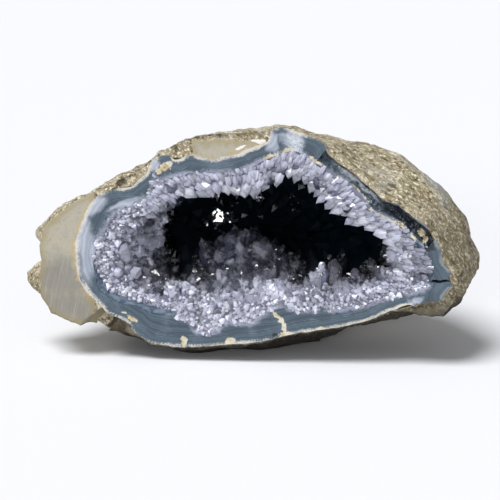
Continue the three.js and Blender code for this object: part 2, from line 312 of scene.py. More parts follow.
def spotAt(spots, x, z):  # 1 in the middle of a spot, 0 outside; ragged edges
    ragged = noise.noise_vector(Vector((x, 0, z)) / 2.3) * 0.7
    ragged += noise.noise_vector(Vector((x, 5, z)) / 0.9) * 0.35
    deepest = 0
    for atX, atZ, wide, tall, turn in spots:
        if abs(x - atX) > 3 * (wide + tall) or abs(z - atZ) > 3 * (wide + tall):
            continue
        c, s = math.cos(math.radians(turn)), math.sin(math.radians(turn))
        across, up = x - atX + ragged.x, z - atZ + ragged.z
        away = math.hypot((across * c + up * s) / wide, (up * c - across * s) / tall)
        deepest = max(deepest, 1 - smooth(away, 0.3, 1.5))
    return deepest


def meet(v, lineName, past):  # takes a point of the front's edge across the gap to the next layer
    x, depth, z = faceOf(v.co)
    near, index, gap = lineTrees[lineName].find((x, 0, z))
    out = outward(near.x, near.z)
    if gap < 1 and any(side.normal.dot(out) * past > 0.13 for side in v.link_faces):
        v.co.x, v.co.z = faceX + near.x * mm, near.z * mm
        v.co += out * past * mm
        return True
    return False


# Host rock: weathered outside, sawn in front
rock = {
    "longest": 0.95,  # longest edge of the finished surface, mm
    "far": (38, 1.9),  # past this depth in mm edges are longer by this ratio
    "lumps": [(17, 1.0), (8, 0.9), (3.7, 0.75), (1.8, 0.5)],  # length and height of each size of lump, mm
    "pits": {"apart": 3.3, "wide": 0.4, "deep": 1.0},
    "streak": (0.78, 0.12, -0.61),  # the way the grain runs
    "heart": onFace(2, 43, 20),
    "swells": [  # x, depth, z, reach along each, and the move, mm
        ((-80, 11, 30), (9, 10, 7), (-2.8, 0, 0)), ((-79, 11, 45.5), (5, 10, 4), (-1.2, 0, 0)),
        ((-46, 22, 73), (17, 20, 12), (2.5, 0, -5.5)), ((42, 24, 6), (34, 24, 13), (-1, 0, 3.5)),
        ((78, 16, 27), (16, 22, 20), (4.6, 0, 0)), ((60, 26, 60), (16, 26, 12), (2.2, 0, 1.2)),
    ],
    "cream": [(3.2, 82.8, 3.2, 1.5, -12), (-3.5, 80.0, 2.2, 0.6, 14), (5.5, 81.0, 1.2, 1.4, 0)],
    "grey": [(67, 62, 8, 3.5, -48)],
    # spots darkened as painted shade: a slit at the upper left and the set-back notch at the lower left
    "recess": [(-46.5, 66.5, 2.2, 1.3, 20), (-52, 13, 7, 3.6, -35)],
}


def isSawn(x, z):  # which parts of the rock's front were left flat by the saw
    ragged = 1.6 * noise.noise(Vector((x, 0, z)) / 4)
    return x + ragged < -57 or (-21 < x + ragged < 5 and 70 < z + 0.5 * ragged < 83)


def weatheredRock():
    finish = Finish("weatheredRock")
    run = finish.stretched(rock["streak"], 1.5)
    pit = finish.held("pit")
    rise = finish.held("rise")
    patches = finish.grain(12, 3, 0.6).between(0.36, 0.64)
    stain = finish.grain(7, 3, 0.6, run).between(0.5, 0.68)
    flecks = finish.grain(0.95, 4, 0.72, run)
    dust = finish.grain(0.5, 2, 0.6)
    specks = finish.grain(1.6, 3, 0.72, run)
    colour = finish.mix(patches, tint(143, 132, 104), tint(178, 168, 144))
    colour = finish.mix(stain * 0.5, colour, tint(128, 112, 76))
    colour = finish.mix(flecks.between(0.5, 0.62) * 0.9, colour, tint(242, 235, 214))
    # painted highlight: raised grains are lightened by how high they stand
    colour = finish.mix(rise.between(0.3, 1.0) * 0.55, colour, tint(230, 222, 200))
    colour = finish.mix(specks.between(0.53, 0.64) * 0.9, colour, tint(78, 66, 40))
    # dark brown pits, with painted shade in low places among the lumps and in recesses
    colour = finish.mix(pit.between(0.08, 0.75) * 0.9, colour, tint(58, 48, 31))
    colour = finish.mix(dust.between(0.56, 0.68) * 0.6, colour, tint(78, 69, 48))
    dove = finish.mix(flecks.between(0.4, 0.6), tint(126, 134, 140), tint(186, 190, 190))
    colour = finish.mix((finish.held("grey") + (patches - 0.7) * 0.8) * 0.7, colour, dove)
    # painted shade: the lower part of the right end is darkened towards a dim tone
    dim = finish.mix(flecks.between(0.45, 0.6), tint(84, 76, 58), tint(140, 131, 108))
    colour = finish.mix(finish.held("dusk") * 0.6, colour, dim)
    # painted shade: the underside near the floor is darkened towards near black, made ragged by the flecks
    under = (finish.held("under") + (flecks - 0.5) * 0.5).between(0.1, 0.8)
    colour = finish.mix(under * 0.93, colour, tint(30, 27, 25))
    bump = finish.bump(flecks * 0.7 + dust * 0.5 + specks * -0.5, 0.5, 0.9)
    return finish.done(finish.shine(Base_Color=colour, Roughness=0.85, Normal=bump, Specular_IOR_Level=0.3))


def sawnRock():
    finish = Finish("sawnRock")
    rim = finish.held("rim")
    edge = finish.held("edge")
    tall = finish.node("ShaderNodeSeparateXYZ", {}, {0: finish.place}, 2) / mm
    blotch = finish.grain(9, 3, 0.6)
    mottle = finish.grain(2.6, 3, 0.65)
    fine = finish.grain(0.6, 3, 0.6)
    lines = finish.grain(0.7, 3, 0.6, finish.stretched((0.2, 0, 1), 22))
    low = 1 - (tall + (blotch - 0.5) * 22).between(31, 45)
    colour = finish.mix(low, tint(174, 169, 154), tint(142, 139, 131))
    colour = finish.mix(blotch.between(0.5, 0.7) * 0.35, colour, tint(176, 166, 140))
    colour = finish.mix(mottle.between(0.48, 0.7) * 0.3, colour, tint(140, 134, 120))
    colour = finish.mix(lines.between(0.56, 0.7) * low * 0.3, colour, tint(192, 188, 180))
    colour = finish.mix(lines.between(0.52, 0.36) * low * 0.25, colour, tint(116, 110, 100))
    ochre = (1 - (rim + (mottle - 0.5) * 5).between(0.4, 2.6)) * finish.grain(4.5, 2).between(0.36, 0.56)
    colour = finish.mix(ochre * 0.75, colour, tint(186, 165, 116))
    stain = (1 - (edge + (mottle - 0.5) * 7).between(0.2, 3.2))
    colour = finish.mix(stain * 0.6, colour, tint(150, 136, 94))
    chalk = (finish.held("cream") + (fine - 0.5) * 0.4).between(0.3, 0.55)
    colour = finish.mix(chalk * 0.95, colour, tint(236, 232, 224))
    white = (1 - (rim + (fine - 0.5) * 1.2).between(0.3, 1.1))
    colour = finish.mix(white * 0.8, colour, tint(226, 222, 214))
    colour = finish.mix(fine.between(0.58, 0.72) * 0.35, colour, tint(112, 104, 88))
    bump = finish.bump(fine * 0.6 + mottle * 0.8 + lines * low * 0.5, 0.3, 0.7)
    return finish.done(finish.shine(Base_Color=colour, Roughness=0.75, Normal=bump, Specular_IOR_Level=0.3))


def makeRock():
    shape = copyOf("rock_rind")
    for side in shape.faces:
        if all(v.co.y < cutEnd for v in side.verts):
            side.material_index = 1
        elif side.normal.dot(rock["heart"] - side.calc_center_median()) > 0:
            side.material_index = 2
    refine(shape, (1,), 1.1)
    for side in shape.faces:  # the rest of the front is broken, not sawn
        if side.material_index == 1:
            x, depth, z = faceOf(side.calc_center_median())
            side.material_index = 1 if isSawn(x, z) else 0
    refine(shape, (0,), rock["longest"], lambda v: v.co.z < 0.1 * mm or v.co.y < cutEnd, rock["far"])
    print("rock refined", len(shape.faces))
    held = {name: [] for name in ("pit", "rise", "rim", "edge", "cream", "grey", "under", "dusk")}
    cut = [v for v in shape.verts if any(s.material_index == 1 for s in v.link_faces)]
    corner = [v for v in cut if any(s.material_index == 0 for s in v.link_faces)]
    edges = KDTree(len(corner))
    for k, v in enumerate(corner):
        edges.insert(v.co, k)
    edges.balance()
    flat = set(v.index for v in cut)
    run = Vector(rock["streak"]).normalized()
    steps = []
    for v in shape.verts:
        x, depth, z = faceOf(v.co)
        rim = fromLine("agate", x, z) if depth < 6 else 9
        pit = rise = 0
        step = Vector()
        kinds = set(s.material_index for s in v.link_faces)
        if kinds == {0}:
            at = v.co - 0.55 * run * v.co.dot(run)
            sizes = [tall * noise.noise(at / (length * mm)) for length, tall in rock["lumps"]]
            near = noise.voronoi(at / (rock["pits"]["apart"] * mm))[0]
            pit = max(0, 1 - near[0] / rock["pits"]["wide"]) * smooth(noise.noise(at / (7 * mm)), -0.25, 0.25)
            # how high the small lumps stand; the colour is lightened with it as a painted highlight
            rise = max(0, sizes[2] / 0.7 + sizes[3] / 0.6)
            relief = sum(sizes) - rock["pits"]["deep"] * pit
            if depth < 0.01:  # broken front: rounded back from the band
                step.y = 0.14 + smooth(rim, 0.3, 2.6) * max(-0.2, 0.7 + relief * 0.7)
            else:
                fade = smooth(depth, -1.6, 2.5) * smooth(z, 0, 4) * (0.25 + 0.75 * smooth(rim, 0.4, 2))
                step = v.normal * relief * fade
            # painted shade: low places among the lumps and the recess spots are darkened along with the pits
            pit = min(1, pit + max(0, -sizes[2] / 0.7 - 0.25) * 0.7)
            pit = max(pit, spotAt(rock["recess"], x, z) if depth < 5 else 0)
            for top, reach, move in rock["swells"]:
                step += Vector(move) * hump((x, depth, z), top, reach) * smooth(depth, 0, 5)
        elif depth < 0.01 and rim < 0.5:
            step.y = 0.14
        steps.append(step * mm)
        held["pit"].append(pit)
        held["rise"].append(rise)
        held["rim"].append(rim)
        held["edge"].append(edges.find(v.co)[2] / mm if v.index in flat else 0)
        held["cream"].append(spotAt(rock["cream"], x, z) if depth < 3 else 0)
        # painted shade: how far a point faces down near the floor, fading towards the back and towards the left
        # end
        below = smooth(-v.normal.z, -0.35, 0.3) * (1 - smooth(z, 20, 32)) * (1 - 0.75 * smooth(depth, 14, 40))
        held["under"].append(below * smooth(x, -62, -40))
        # painted shade: strong at the right end, fading out upwards
        held["dusk"].append(smooth(x, 52, 72) * (1 - smooth(z, 46, 70)))
        held["grey"].append(spotAt(rock["grey"], x, z) if 4 < depth < 60 else 0)
    for v, step in zip(shape.verts, steps):
        v.co += step + wobble(v.co)
    for side in shape.faces:
        side.material_index = min(1, side.material_index)
    piece(shape, "rockRind", "rock_rind", [weatheredRock(), sawnRock()], held)


# Agate: banded, glossy, with cream islands where the rock shows through
agate = {
    "longest": 0.5,
    "cream": [  # x, z, half-widths across and up, turn in degrees
        (-30.2, 72.8, 2.8, 1.3, 24), (-32.5, 71.4, 1.3, 0.9, 0), (61.3, 50.0, 1.4, 1.8, 30),
        (62.5, 47.6, 0.9, 1.3, 0), (13.4, 11.6, 2.8, 1.1, 12), (12.3, 14.0, 1.1, 1.6, 0),
        (11.2, 16.4, 0.9, 1.6, 25), (9.7, 18.6, 0.7, 1.5, 35), (8.2, 20.4, 0.6, 1.3, 45),
        (-46.8, 16.6, 1.3, 0.8, -30), (-44.4, 13.2, 1.6, 0.8, -45), (-24.3, 7.8, 1.3, 1.5, 0),
        (-7.2, 8.4, 1.8, 1.2, 8), (26, 14.4, 2.0, 0.6, 10),
    ],
    "pale": [
        # pale agate; the spots at x 8 and 15 on the top window also paint a sheen of light from above, and the
        # two at x 36.5 and 43.5 are painted glints along the channel
        (64, 22.5, 3.2, 2.0, 20), (60, 25.5, 3, 1.4, 20), (-45, 58.8, 8, 1.5, 24), (8, 82, 2.8, 3.8, 0),
        (15, 83.5, 5, 3, -10), (-60, 44, 3.4, 16, 3), (-56, 57.5, 6, 2.6, 38), (61, 44, 3, 3, 0),
        (-35, 73.2, 3, 2, 0), (36.5, 69.6, 5, 0.7, -41), (43.5, 63.4, 3.6, 0.7, -38),
    ],
    "dark": [(64, 45.4, 2.2, 1.7, 0), (8.8, 11.2, 1.3, 0.9, 0), (-36.8, 72.6, 1.1, 2.4, 20)],
    # white striae on the top window with a painted sheen of light from above, and painted glints along the
    # channel
    "stria": [(16, 82.4, 2.6, 4.6, 14), (34.5, 71.2, 5.5, 1.0, -41), (41.5, 65.4, 3.6, 0.8, -38)],
}


def tealReach(x, z):  # how far the band's blue runs on into the ring, mm
    lowerLeft = smooth(-x, 24, 34) * (1 - smooth(z, 30, 38))
    rightEnd = smooth(x, 56, 59) * smooth(z, 31, 33)
    return 3.6 * lowerLeft + 1.6 * rightEnd


def tealAt(x, depth, z):  # 1 where the ring is as blue as the band
    reach = tealReach(x, z)
    share = 1 - smooth(fromLine("crust", x, z), 0.6 * reach, reach + 0.3)
    return share * (reach > 0.3) * (1 - smooth(depth, 3, 5))


def bandedAgate():
    finish = Finish("bandedAgate")
    warp = (finish.grain(7, 2) - 0.5) * 1.5 + (finish.grain(2, 2) - 0.5) * 0.35
    outer = finish.held("outer") + warp
    inner = finish.held("inner") + warp * 0.8
    cream = finish.held("cream")
    fine = finish.grain(0.7, 3, 0.6)
    cloud = finish.grain(8, 3, 0.6)
    share = outer / (outer + inner).most(0.5)
    rings = finish.bands(outer * 0.75, 3, 0.62)
    threads = finish.bands(outer * 2.3 + 7, 1)
    colour = finish.mix(rings.between(0.3, 0.72), tint(46, 62, 74), tint(80, 97, 111))
    thread = threads.between(0.6, 0.76) * cloud.between(0.4, 0.62)
    colour = finish.mix(thread * 0.4, colour, tint(136, 150, 162))
    colour = finish.mix(cloud.between(0.5, 0.74) * 0.4, colour, tint(112, 126, 142))
    grit = finish.cells(1.1)
    inside = (share + (fine - 0.5) * 0.2 + (grit - 0.5) * 0.22 + (cloud - 0.5) * 0.5).between(0.76, 1.06)
    milky = finish.mix(grit.between(0.15, 0.75), tint(205, 206, 220), tint(142, 146, 166))
    colour = finish.mix(inside * 0.9, colour, milky)
    pale = (finish.held("pale") + (fine - 0.5) * 0.4 + (cloud - 0.5) * 0.8).between(0.1, 1.0)
    whitish = finish.mix(rings.between(0.4, 0.6), tint(158, 168, 184), tint(200, 204, 217))
    colour = finish.mix(pale * 0.72, colour, whitish)
    dark = (finish.held("dark") + (fine - 0.5) * 0.25).between(0.1, 0.9)
    colour = finish.mix(dark * 0.94, colour, tint(20, 26, 36))
    combed = finish.grain(0.75, 1, 0.4, finish.stretched((0.35, 0, 0.94), 0.08))
    # painted glints and striae: combed white streaks
    colour = finish.mix(finish.held("stria") * combed.between(0.5, 0.56), colour, tint(226, 232, 238))
    island = (cream + (fine - 0.5) * 1.3 + (grit - 0.5) * 0.35).between(0.28, 0.62)
    ochre = (finish.grain(2.2, 3, 0.6) + cream * 0.12).between(0.5, 0.7)
    earth = finish.mix(grit.between(0.2, 0.6), tint(146, 128, 86), tint(192, 176, 136))
    colour = finish.mix(island, colour, finish.mix(ochre, tint(212, 205, 186), earth))
    edge = 1 - (outer + (fine - 0.5) * 1.4).between(0.1, 0.9)
    colour = finish.mix(edge * finish.held("lip"), colour, tint(216, 211, 199))
    rough = 0.15 + island * 0.4 + edge * 0.3 + fine * 0.1
    chips = finish.held("chip") * finish.grain(0.9, 2) * 5
    bump = finish.bump(fine * 0.5 + rings * 0.25 + cream * 0.5 + chips, 0.14, 0.5)
    return finish.done(finish.shine(Base_Color=colour, Roughness=rough, Normal=bump, IOR=1.54))


def makeAgate():
    shape = copyOf("agate_band")
    for side in shape.faces:
        x, depth, z = faceOf(side.calc_center_median())
        shown = depth < 4 and (side.normal.y < -0.3 or z > 79)
        side.material_index = 0 if shown else 1
    refine(shape, (0,), agate["longest"])
    held = {name: [] for name in ("outer", "inner", "cream", "pale", "dark", "stria", "lip", "chip")}
    for v in shape.verts:
        x, depth, z = faceOf(v.co)
        inner = fromLine("crust", x, z)
        groove = fromLine("channel", x, z)
        outer = fromLine("agate", x, z)
        trough = (1 - smooth(groove, 1.2, 3.0)) * smooth(outer, 0.3, 1.2)
        uneven = noise.noise(Vector((x, 2, z)) / 3.5)
        seam = (1 - smooth(inner, 0.3, 1.35 + uneven)) * smooth(uneven, -0.5, 0.1)
        seam *= smooth(x, -2, 6) * smooth(z, 44, 50)
        held["outer"].append(outer)
        held["inner"].append(inner + 1.5 * tealReach(x, z))
        held["cream"].append(max(spotAt(agate["cream"], x, z), 0.6 * seam))
        held["pale"].append(spotAt(agate["pale"], x, z))
        held["stria"].append(spotAt(agate["stria"], x, z))
        deep = trough * (0.12 + 0.75 * smooth(x, 40, 53))
        held["dark"].append(max(spotAt(agate["dark"], x, z), deep))
        upperRight = smooth(x, 18, 26) * smooth(z, 44, 50)
        held["lip"].append(0.9 - 0.7 * max(upperRight, smooth(x, 58, 64)))
        held["chip"].append(trough)
        if depth < 0.3:  # grown to meet the rock outside and the crust inside
            meet(v, "agate", 0.45) or meet(v, "crust", -0.45)
        elif depth < 3.5 and v.normal.y < -0.2:  # chipped channel
            facet = noise.voronoi(v.co / (2.2 * mm))[0]
            chip = facet[0] * 2.2 - 0.9 + noise.noise(v.co / (1.1 * mm)) * 0.45
            v.co.y += chip * mm * smooth(depth, 0.2, 1.2)
        v.co += wobble(v.co)
    for side in shape.faces:
        side.material_index = 0
    piece(shape, "agateBand", "agate_band", [bandedAgate()], held, False)


# Quartz: a ground that lines the hollow, and the crystals that stand on it
quartz = {
    "smoothing": 4,
    "recess": 1.0,  # how far the ring of crystals lies behind the sawn face, mm
    "longest": 1.3,  # longest edge of the ring's face, mm
    "heap": ((-42, 12, 43), (14, 8, 12), 10),  # swelling of the left wall: x, depth, z, reach, rise
    "clear": (0.93, 0.94, 0.97, 1),
    "bend": 1.54,  # index of refraction
    "soak": (0.5, 0.54, 0.64, 1),
    "soakDensity": 90,
    "haze": 0.4,  # how far light wanders in the cloudy ones, mm
    "combArc": (-6, 161),  # degrees about the face's centre
    "comb": [  # rows: foot (1 at the band, 0 at the mouth), radius, length, depth, cloudiness, tone
        (0.98, (0.6, 1.1), (1.5, 3.2), 0.5, 1.0, 0.62), (0.82, (0.7, 1.3), (1.8, 3.4), 0.9, 1.0, 0.65),
        (0.66, (0.8, 1.5), (1.6, 3.2), 1.5, 1.0, 0.68), (0.52, (1.0, 1.8), (1.4, 3.0), 2.2, 0.95, 0.72),
        (0.36, (1.4, 2.4), (1.0, 2.8), 2.8, 0.85, 1.05), (0.22, (1.5, 2.6), (1.0, 3.2), 4.4, 0.75, 1.05),
    ],
    "bright": ((8, 27), (7, 3.5)),  # the whitest part of the ring: x, z and reach
    "glint": {  # a bright cluster on the back wall
        "spot": (-16.6, 44.2),  # x and z on the face
        "flashes": [(0, 0), (-0.4, 1.9), (0.3, -1.9), (-1.5, 0.7), (1.2, 1.2), (-0.9, -1.4)],  # largest facets
        "facets": 13,  # with the small ones
        "others": 32,  # small facets and dim crystals
        "ahead": 3.2,  # how far the facets stand before the wall, mm
        "length": 3.2,
    },
    "backRow": {"count": 30, "from": -42, "width": 96, "height": 41, "depth": (4, 8.5), "radius": (1.0, 1.9)},
    "leftWall": {"tries": 190, "depth": (3.5, 20), "height": (29, 58), "radius": (1.3, 2.9), "edge": -28},
    "grains": {"tries": 70000, "radius": (0.6, 1.25), "apart": 0.8, "sugarMilk": 0.45},
    "cell": 2,  # of the grid that keeps crystals apart, mm
    "milkEnd": 34,  # no cloudiness is worked out past this depth, mm
    "tall": [  # x, depth, z, the way it points, radius, prism length, cloudiness
        (-8, 17, 36, (0.1, -0.35, 1), 3.0, 8, 0.2), (-16, 15, 33, (-0.35, -0.4, 1), 2.4, 6, 0.15),
        (2, 16, 33, (0.5, -0.5, 1), 2.2, 6, 0.15), (23.5, 7, 24, (0.05, -0.25, 1), 2.7, 9, 0.6),
        (29, 9, 24, (0.12, -0.1, 1), 2.9, 12, 0.4), (40, 9, 27, (0.1, -0.35, 1), 2.0, 5, 0.3),
        (58, 4.5, 43.5, (-1, -0.1, -0.75), 3.6, 6.5, 0.8), (60, 5.5, 40, (-1, -0.1, -0.3), 2.4, 5, 0.7),
        (55, 5, 47, (-0.8, -0.1, -0.9), 2.6, 6, 0.75), (-30, 5, 19, (0.2, -0.25, 1), 2.6, 7, 0.75),
        (-24, 6, 21, (-0.15, -0.3, 1), 2.4, 6, 0.7), (-48, 6, 50, (0.8, -0.6, -0.2), 3.2, 3, 0.65),
    ],
}


def isUpper(x, z):  # the side of the mouth where the crystals hang as a comb
    return x > -32 and z > 37 and math.degrees(angleOf(x, z)) % 360 < 172


def outOf(x, z):  # 0 at the mouth, 1 at the band
    angle = angleOf(x, z)
    root, mouth = reachOf("crust", angle), reachOf("mouth", angle)
    return (math.hypot(x - middle[0], z - middle[1]) - mouth) / max(1, root - mouth)


def moundAt(x, depth):  # 1 on the crest of the mound, longer to the right
    return hump((x, depth), (-6, 15.5), (15 if x < -6 else 24, 13))


def milkAt(place):  # how cloudy the quartz is: 1 on the rim, 0 deep in the hollow
    x, depth, z = faceOf(place)
    if isUpper(x, z):
        return smooth(outOf(x, z), -0.2, 0.6) * (1 - smooth(depth, 2.5, 8)) * (1 - 0.5 * smooth(x, 57, 61))
    left = smooth(-x, 22, 40)
    cloud = 1 - smooth(depth, 3 - 1.5 * left, 11 + 12 * left)
    cloud *= 1 - 0.5 * smooth(x, 57, 61) * smooth(z, 32, 35)
    mound = 0.72 * moundAt(x, depth) * (1 - smooth(z, 50, 58))
    return max(cloud, mound, 0.45 * left * (1 - smooth(depth, 14, 28)))


def cloudedGround():
    finish = Finish("cloudedGround")
    milk = finish.held("milk")
    fine = finish.grain(1.1, 3, 0.6)
    cloud = finish.grain(5, 3, 0.6)
    ramp = [
        (0, tint(7, 17, 24)), (0.25, tint(38, 42, 52)), (0.5, tint(70, 73, 87)), (0.75, tint(98, 100, 117)),
        (1, tint(124, 126, 145)),
    ]
    level = milk + (cloud + fine * 0.6 - 0.8) * 0.5 * milk
    colour = finish.node("ShaderNodeValToRGB", {"stops": ramp}, {0: level})
    blue = finish.mix(finish.grain(2.5, 3, 0.6).between(0.4, 0.6), tint(72, 88, 102), tint(112, 124, 141))
    colour = finish.mix((finish.held("teal") + (fine - 0.5) * 0.8).between(0.3, 0.7), colour, blue)
    bump = finish.bump(fine, 0.35, 0.6)
    return finish.done(finish.shine(Base_Color=colour, Roughness=0.5, Normal=bump, Specular_IOR_Level=0.04))


def crystalQuartz(name, rough, soak=None):
    finish = Finish(name)
    milk = finish.held("milk")
    tone = finish.held("tone")
    wisps = finish.grain(1.5, 3, 0.6)
    cloudy = finish.mix(tone, tint(60, 64, 82), tint(232, 234, 253))
    bend = quartz["bend"]
    glass = finish.shine(Base_Color=quartz["clear"], Roughness=0.03, IOR=bend, Transmission_Weight=1.0)
    haze = {"Subsurface_Weight": 0.7, "Subsurface_Radius": (1, 1, 1), "Subsurface_Scale": quartz["haze"] * mm}
    body = finish.shine(Base_Color=cloudy, Roughness=rough, IOR=bend, **({} if soak else haze))
    share = (milk + (wisps - 0.5) * 0.4 * milk).between(0.0, 1.0)
    surface = finish.node("ShaderNodeMixShader", {}, {0: share, 1: glass, 2: body})
    volume = None
    if soak:
        sockets = {"Color": soak, "Density": quartz["soakDensity"]}
        volume = finish.node("ShaderNodeVolumeAbsorption", {}, sockets)
    return finish.done(surface, volume)


def isWall(side):  # whether a face of the crust is its outer wall
    x, depth, z = faceOf(side.calc_center_median())
    return side.normal.dot(outward(x, z)) > 0.15 or (depth > 40 and side.normal.y > 0.3)


def makeGround():
    shape = copyOf("crystal_crust")
    for side in shape.faces:
        if all(v.co.y < cutEnd for v in side.verts):
            side.material_index = 1
        elif isWall(side):
            side.material_index = 2
    refine(shape, (1,), quartz["longest"])
    inside = [v for v in shape.verts if all(s.material_index == 0 for s in v.link_faces)]
    for turn in range(quartz["smoothing"]):
        ease(shape, inside)
    top, reach, rise = quartz["heap"]
    for v in inside:
        v.co.x += rise * hump(faceOf(v.co), top, reach) * mm
    for v in shape.verts:
        x, depth, z = faceOf(v.co)
        if depth < 0.01:
            gap = fromLine("crust", x, z)
            back = quartz["recess"] * smooth(gap, 0.4, 2.5)
            v.co.y += mm * (0.3 + back + max(0, noise.noise(v.co / (3 * mm))) * back)
        if any(side.material_index == 2 for side in v.link_faces):  # runs on under the band
            v.co += outward(x, z) * 0.7 * mm * (1 - smooth(depth, 5, 12))
        v.co += wobble(v.co)
    shape.normal_update()
    return shape


def quartzPoint(lean, uneven, slope):  # one crystal: x, y, share of its prism, height in its own radius
    shape = bmesh.new()
    bmesh.ops.create_cone(shape, cap_ends=True, cap_tris=False, segments=6, radius1=1, radius2=0.93, depth=2)
    top = max(shape.faces, key=lambda side: side.calc_center_median().z)
    tip = bmesh.ops.poke(shape, faces=[top])["verts"][0]
    shape.verts.index_update()
    rows = []
    for v in shape.verts:
        if v is tip:
            rows.append((lean[0], lean[1], 1, slope))
        else:
            turn = round(math.degrees(math.atan2(v.co.y, v.co.x)) / 60)
            rise = uneven * (1 if turn % 2 else -1) if v.co.z > 0 else 0
            rows.append((v.co.x, v.co.y, 1 if v.co.z > 0 else 0, rise))
    sides = [[v.index for v in side.verts] for side in shape.faces]
    shape.free()
    return np.array(rows), sides


quartzPoints = [
    quartzPoint((0.12, 0.05), 0.18, 1.15), quartzPoint((-0.2, 0.16), 0.3, 1.0),
    quartzPoint((0.3, -0.1), 0.12, 1.3), quartzPoint((0.05, -0.35), 0.25, 0.85),
]


# sites: foot, way, radius, prism length, milk at foot and tip, tone, and for a few where a facet looks
def growCrystals(name, sites, finish):
    chance = random.Random(name)
    corners, sides, milks, tones = [], [], [], []
    count = 0
    for foot, way, radius, length, milkFoot, milkTip, tone, *facing in sites:
        rows, faces = chance.choice(quartzPoints)
        turned = way.to_track_quat("Z", "Y") @ Quaternion((0, 0, 1), chance.uniform(0, math.pi))
        wide = radius * chance.uniform(0.8, 1.15)
        heights = rows[:, 2] * length + rows[:, 3] * radius
        local = np.column_stack((rows[:, 0] * radius, rows[:, 1] * wide, heights))
        if facing:  # one facet of its point sits at the foot and looks that way
            a, b, c = (Vector(local[i]) for i in next(side for side in faces if len(side) == 3))
            spin = Quaternion(facing[0], chance.uniform(-2, 2))
            turned = spin @ (b - a).cross(c - a).rotation_difference(facing[0])
            local = local - np.array((a + b + c) / 3)
        corners.append(local @ np.array(turned.to_matrix()).T * mm + np.array(foot))
        sides.extend([[count + i for i in side] for side in faces])
        along = np.clip(local[:, 2] / (length + radius), 0, 1)
        milks.append(milkFoot + (milkTip - milkFoot) * along)
        tones.append(np.full(len(rows), tone))
        count += len(rows)
    mesh = bpy.data.meshes.new(name)
    mesh.from_pydata(np.concatenate(corners).tolist(), [], sides)
    mesh.attributes.new("milk", "FLOAT", "POINT").data.foreach_set("value", np.concatenate(milks))
    mesh.attributes.new("tone", "FLOAT", "POINT").data.foreach_set("value", np.concatenate(tones))
    mesh.materials.append(finish)
    print(name, len(sites), "crystals")
    placed(mesh, name)


class Spacing:  # keeps sites apart
    def __init__(self, cell):
        self.cell = cell
        self.taken = {}

    def room(self, place, apart):
        key = tuple(int(math.floor(c / self.cell)) for c in place)
        for i in (-1, 0, 1):
            for j in (-1, 0, 1):
                for k in (-1, 0, 1):
                    for other in self.taken.get((key[0] + i, key[1] + j, key[2] + k), ()):
                        if (other - place).length < apart:
                            return False
        self.taken.setdefault(key, []).append(place)
        return True


def scatter(shape, zones, count, chance):  # places and ways on a ground, evenly by area
    sides = [side for side in shape.faces if side.material_index in zones]
    areas = [side.calc_area() for side in sides]
    for side in chance.choices(sides, areas, k=count):
        a, b = chance.random(), chance.random()
        if a + b > 1:
            a, b = 1 - a, 1 - b
        p, q, r = side.verts[:3]
        place = p.co + (q.co - p.co) * a + (r.co - p.co) * b
        way = (p.normal * (1 - a - b) + q.normal * a + r.normal * b).normalized()
        yield place, way


def tilted(chance, way, much):
    loose = Vector((chance.gauss(0, 1), chance.gauss(0, 1), chance.gauss(0, 1)))
    return (way + loose * much).normalized()


def combSites(chance):  # columns along the upper rim, from the band towards the hollow
    sites = []
    first, last = quartz["combArc"]
    for share, radii, lengths, behind, milk, light in quartz["comb"]:
        free = smooth(share, 0.6, 0.3)  # 1 in the rows next to the mouth
        angle = first
        while angle < last:
            turn = math.radians(angle)
            root, mouth = reachOf("crust", turn), reachOf("mouth", turn)
            radius = chance.uniform(*radii)
            forward = chance.uniform(-0.3, 0.1) - 0.5 * free
            inward = Vector((-math.cos(turn), forward, -math.sin(turn)))
            start = mouth + (root - mouth) * (share + chance.uniform(-0.1, 0.1))
            x, z = middle[0] + start * math.cos(turn), middle[1] + start * math.sin(turn)
            foot = onFace(x, z, behind + chance.uniform(0, 0.9))
            tone = light + chance.uniform(-0.45, 0.45) * (1.15 - share) - 0.25 * smooth(faceOf(foot)[0], 54, 60)
            length = chance.uniform(*lengths) * (1 + 0.5 * free * smooth(math.cos(turn), 0.5, 0.85))
            lean = tilted(chance, inward, 0.13)
            sites.append((foot, lean, radius, length, milk, milk * chance.uniform(0.2, 0.65), tone))
            angle += math.degrees(radius * chance.uniform(1.0, 1.9 - 0.5 * share) / start)
    return sites


def glintSites(bed):  # facets in one plane that catch the light, dim crystals about them
    glint = quartz["glint"]
    chance = random.Random(2)
    spotX, spotZ = glint["spot"]
    view = towards(studio["azimuth"], studio["elevation"])
    catch = (towards(*studio["lights"]["catch"][:2]) + view).normalized()
    side = catch.cross(Vector((0, 0, 1))).normalized()
    start, backwards = 22, Vector((0, 1, 0.1))  # rays run from this depth to the back wall
    anchor = bed.ray_cast(onFace(spotX, spotZ, start), backwards)[0] + view * glint["ahead"] * mm
    others = [(chance.gauss(0, 4.5), chance.gauss(0, 2.6)) for k in range(glint["others"])]
    sites = []
    for k, (across, rise) in enumerate(glint["flashes"] + others):
        hit, normal, index, far = bed.ray_cast(onFace(spotX - across, spotZ + rise, start), backwards)
        if k < glint["facets"]:
            facet = anchor + (side * across + side.cross(catch) * rise) * mm
            large = k < len(glint["flashes"])
            radius = chance.uniform(1.3, 1.8) if large else chance.uniform(0.4, 0.8)
            facing = (catch + Vector((chance.gauss(0, 0.01), 0, chance.gauss(0, 0.01)))).normalized()
            sites.append((facet, view, radius, glint["length"], 0.08, 0.08, 1, facing))
        elif hit:
            radius = chance.uniform(0.6, 1.2)
            milk = chance.uniform(0.1, 0.35)
            foot = hit - normal * 0.5 * mm
            sites.append((foot, normal, radius, radius * 0.6, milk, milk, chance.uniform(0.5, 1)))
    return sites


